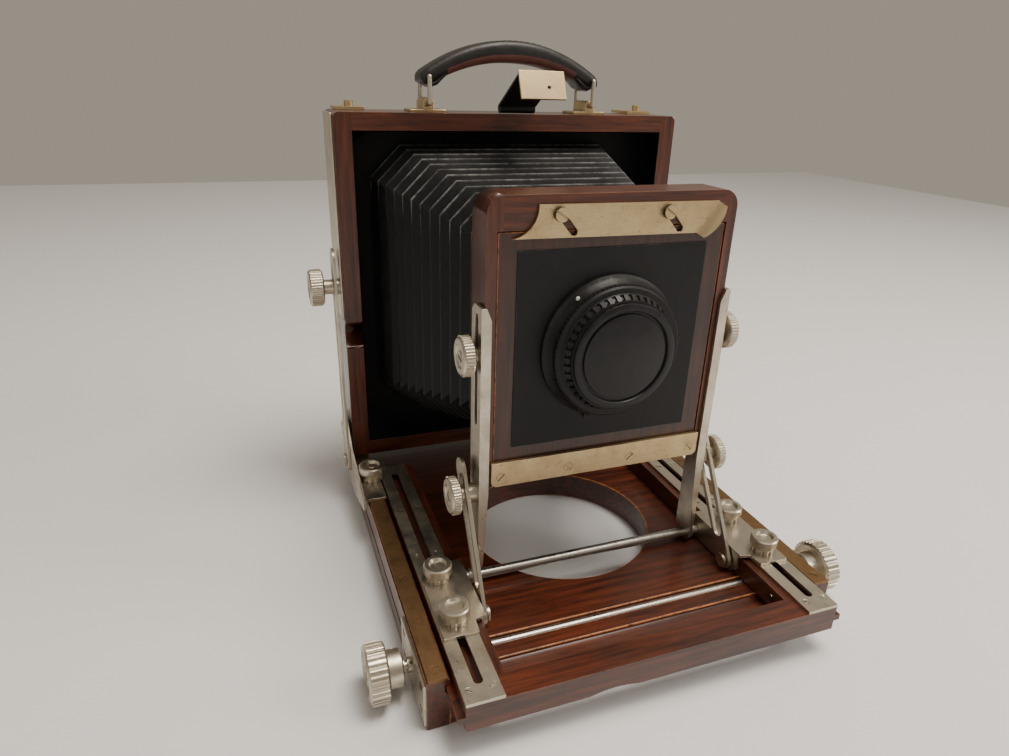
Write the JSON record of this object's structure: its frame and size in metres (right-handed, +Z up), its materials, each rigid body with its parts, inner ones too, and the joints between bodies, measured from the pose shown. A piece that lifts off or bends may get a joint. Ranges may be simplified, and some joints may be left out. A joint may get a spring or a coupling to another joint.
{
  "type": "folding field camera",
  "caption": "Wooden flat-bed view camera with sliding geared bed, tilting front standard, pleated bellows, capped lens, ground-glass back and leather handle.",
  "frame": {"origin": "centre of the round opening in the base, at the underside of the base", "axes": "+X to the right seen from the front, +Y to the back (the lens looks along -Y), +Z up"},
  "size_m": [0.216, 0.227, 0.2362],
  "materials": {
    "lacquered_wood": "deep red-brown lacquer, orange-brown where the edges are worn",
    "bronze_strip": "dark bronze-brown, tarnished",
    "nickel": "dull nickel plate with fine brushing",
    "steel": "bare steel, lightly oiled",
    "brass": "aged yellow brass, brushed",
    "black_satin": "smooth satin black paint",
    "black_enamel": "semi-gloss black enamel",
    "black_plastic": "moulded black plastic, slightly glossy",
    "clear_glass": "coated lens glass",
    "frosted_glass": "finely ground on one side",
    "bellows_cloth": "black leatherette over cloth, pleated",
    "handle_leather": "black top grain, dark red-brown flesh side"
  },
  "bodies": {
    "base": {"base_panel": "lacquered_wood", "side_rails": "lacquered_wood", "rail_strips": "bronze_strip", "base_screws": "bronze_strip", "bearing_plates": "nickel", "tripod_plate": "nickel"},
    "focus_drive": {"pinion_shaft": "steel", "left_focus_knob": "nickel", "right_focus_knob": "nickel"},
    "bed": {"bed_frame": "lacquered_wood", "track_plates": "nickel", "track_screws": "nickel", "focus_racks": "brass"},
    "front_foot": {"foot_brackets": "nickel", "foot_studs": "nickel", "tilt_rod": "steel"},
    "left_front_nut_body": {"left_front_nut": "nickel"},
    "left_back_nut_body": {"left_back_nut": "nickel"},
    "right_front_nut_body": {"right_front_nut": "nickel"},
    "right_back_nut_body": {"right_back_nut": "nickel"},
    "struts": {"front_struts": "nickel"},
    "front_uprights": {"uprights": "nickel"},
    "left_tilt_knob_body": {"left_tilt_knob": "nickel"},
    "right_tilt_knob_body": {"right_tilt_knob": "nickel"},
    "front_frame": {"lens_frame": "lacquered_wood", "bottom_bar": "brass", "front_screws": "brass", "lens_board": "lacquered_wood", "board_panel": "black_satin", "shutter_body": "black_enamel", "lens_cells": "black_satin", "lens_elements": "clear_glass", "retaining_ring": "black_satin", "bellows": "bellows_cloth"},
    "left_rise_knob_body": {"left_rise_knob": "nickel"},
    "right_rise_knob_body": {"right_rise_knob": "nickel"},
    "lock_slide": {"lock_plate": "brass"},
    "cap": {"lens_cap": "black_plastic"},
    "cocking": {"cocking_lever": "black_enamel"},
    "release": {"release_lever": "black_enamel"},
    "aperture": {"aperture_lever": "black_enamel"},
    "rear_carriage": {"rear_brackets": "nickel"},
    "left_clamp": {"left_rear_clamp": "nickel"},
    "right_clamp": {"right_rear_clamp": "nickel"},
    "back_box": {"rear_frame": "lacquered_wood", "side_plates": "nickel", "handle_plates": "brass", "back_latches": "brass", "reversible_back": "lacquered_wood", "back_springs": "steel"},
    "arms": {"rear_arms": "nickel"},
    "left_arm_knob_body": {"left_arm_knob": "nickel"},
    "right_arm_knob_body": {"right_arm_knob": "nickel"},
    "left_ring": {"left_handle_ring": "nickel"},
    "right_ring": {"right_handle_ring": "nickel"},
    "strap": {"handle_strap": "handle_leather"},
    "catch": {"catch_leaf": "black_enamel", "catch_hook": "brass"},
    "glass_holder": {"ground_glass_frame": "lacquered_wood", "ground_glass": "frosted_glass"}
  },
  "joints": [
    {"name": "bed_focus", "type": "slide", "parent": "base", "child": "bed", "axis": [0, -1, 0], "range_m": [-0.014, 0.05], "deforming": ["bellows"]},
    {"name": "focus_turn", "type": "hinge", "parent": "base", "child": "focus_drive", "pos_m": [0, -0.068, 0.012], "axis": [1, 0, 0], "range_deg": [-201, 717]},
    {"name": "front_slide", "type": "slide", "parent": "bed", "child": "front_foot", "axis": [0, -1, 0], "range_m": [-0.02, 0.018], "deforming": ["bellows"]},
    {"name": "front_tilt", "type": "hinge", "parent": "front_foot", "child": "front_uprights", "pos_m": [0, -0.0325, 0.018], "axis": [1, 0, 0], "range_deg": [-8, 8], "deforming": ["bellows"]},
    {"name": "strut_swing", "type": "hinge", "parent": "front_foot", "child": "struts", "pos_m": [0, -0.058, 0.019], "axis": [1, 0, 0], "range_deg": [-7.6, 7.6]},
    {"name": "front_rise", "type": "slide", "parent": "front_uprights", "child": "front_frame", "axis": [0, 0, 1], "range_m": [-0.02, 0.013], "deforming": ["bellows"]},
    {"name": "left_front_nut_turn", "type": "hinge", "parent": "front_foot", "child": "left_front_nut_body", "pos_m": [-0.0724, -0.0652, 0.026], "axis": [0, 0, 1], "range_deg": [0, 180]},
    {"name": "left_back_nut_turn", "type": "hinge", "parent": "front_foot", "child": "left_back_nut_body", "pos_m": [-0.0724, -0.0395, 0.026], "axis": [0, 0, 1], "range_deg": [0, 180]},
    {"name": "left_tilt_knob_turn", "type": "hinge", "parent": "front_uprights", "child": "left_tilt_knob_body", "pos_m": [-0.06, -0.032, 0.0605], "axis": [1, 0, 0], "range_deg": [0, 180]},
    {"name": "left_rise_knob_turn", "type": "hinge", "parent": "front_frame", "child": "left_rise_knob_body", "pos_m": [-0.058, -0.032, 0.1218], "axis": [1, 0, 0], "range_deg": [0, 180]},
    {"name": "left_clamp_turn", "type": "hinge", "parent": "rear_carriage", "child": "left_clamp", "pos_m": [-0.0842, 0.05, 0.026], "axis": [0, 0, 1], "range_deg": [0, 180]},
    {"name": "left_arm_knob_turn", "type": "hinge", "parent": "back_box", "child": "left_arm_knob_body", "pos_m": [-0.098, 0.081, 0.1206], "axis": [1, 0, 0], "range_deg": [0, 180]},
    {"name": "right_front_nut_turn", "type": "hinge", "parent": "front_foot", "child": "right_front_nut_body", "pos_m": [0.0724, -0.0652, 0.026], "axis": [0, 0, 1], "range_deg": [0, 180]},
    {"name": "right_back_nut_turn", "type": "hinge", "parent": "front_foot", "child": "right_back_nut_body", "pos_m": [0.0724, -0.0395, 0.026], "axis": [0, 0, 1], "range_deg": [0, 180]},
    {"name": "right_tilt_knob_turn", "type": "hinge", "parent": "front_uprights", "child": "right_tilt_knob_body", "pos_m": [0.06, -0.032, 0.0605], "axis": [1, 0, 0], "range_deg": [0, 180]},
    {"name": "right_rise_knob_turn", "type": "hinge", "parent": "front_frame", "child": "right_rise_knob_body", "pos_m": [0.058, -0.032, 0.1218], "axis": [1, 0, 0], "range_deg": [0, 180]},
    {"name": "right_clamp_turn", "type": "hinge", "parent": "rear_carriage", "child": "right_clamp", "pos_m": [0.0842, 0.05, 0.026], "axis": [0, 0, 1], "range_deg": [0, 180]},
    {"name": "right_arm_knob_turn", "type": "hinge", "parent": "back_box", "child": "right_arm_knob_body", "pos_m": [0.098, 0.081, 0.1206], "axis": [1, 0, 0], "range_deg": [0, 180]},
    {"name": "lock_slide_move", "type": "slide", "parent": "front_frame", "child": "lock_slide", "axis": [-0.6536, 0, 0.7568], "range_m": [0, 0.0085]},
    {"name": "cap_pull", "type": "slide", "parent": "front_frame", "child": "cap", "axis": [0, -1, 0], "range_m": [0, 0.015]},
    {"name": "cocking_swing", "type": "hinge", "parent": "front_frame", "child": "cocking", "pos_m": [0, -0.0376, 0.1218], "axis": [0, 1, 0], "range_deg": [0, 12]},
    {"name": "release_swing", "type": "hinge", "parent": "front_frame", "child": "release", "pos_m": [0, -0.0376, 0.1218], "axis": [0, 1, 0], "range_deg": [0, 8], "stiffness_Nm_per_rad": 0.05, "springref_deg": -5.73},
    {"name": "aperture_swing", "type": "hinge", "parent": "front_frame", "child": "aperture", "pos_m": [0, -0.0376, 0.1218], "axis": [0, 1, 0], "range_deg": [-12, 12]},
    {"name": "rear_slide", "type": "slide", "parent": "base", "child": "rear_carriage", "axis": [0, -1, 0], "range_m": [0, 0.006], "deforming": ["bellows"]},
    {"name": "rear_tilt", "type": "hinge", "parent": "rear_carriage", "child": "back_box", "pos_m": [0, 0.09, 0.036], "axis": [1, 0, 0], "range_deg": [-7, 7], "deforming": ["bellows"]},
    {"name": "arm_swing", "type": "hinge", "parent": "rear_carriage", "child": "arms", "pos_m": [0, 0.075, 0.024], "axis": [1, 0, 0], "range_deg": [-7.1, 7.1]},
    {"name": "ring_swing", "type": "hinge", "parent": "back_box", "child": "left_ring", "pos_m": [-0.043, 0.0896, 0.2076], "axis": [0, 1, 0], "range_deg": [-20, 20]},
    {"name": "right_ring_swing", "type": "hinge", "parent": "back_box", "child": "right_ring", "pos_m": [0.043, 0.0896, 0.2076], "axis": [0, 1, 0], "range_deg": [-20.1, 20.1]},
    {"name": "strap_swing", "type": "hinge", "parent": "left_ring", "child": "strap", "pos_m": [-0.043, 0.0896, 0.2194], "axis": [0, 1, 0], "range_deg": [-20.1, 20.1]},
    {"name": "catch_swing", "type": "hinge", "parent": "back_box", "child": "catch", "pos_m": [0, 0.076, 0.206], "axis": [1, 0, 0], "range_deg": [-45, 10]},
    {"name": "glass_draw", "type": "slide", "parent": "back_box", "child": "glass_holder", "axis": [0, 1, 0], "range_m": [0, 0.013], "stiffness_N_per_m": 300, "springref_m": -0.02, "deforming": ["back_springs"]}
  ],
  "couplings": [
    {"joint": "focus_turn", "follows": "bed_focus", "rad_per_m": 250},
    {"joint": "strut_swing", "follows": "front_tilt", "ratio": 0.7425},
    {"joint": "arm_swing", "follows": "rear_tilt", "ratio": 0.867},
    {"joint": "right_ring_swing", "follows": "ring_swing", "ratio": 1},
    {"joint": "strap_swing", "follows": "ring_swing", "ratio": -1}
  ]
}
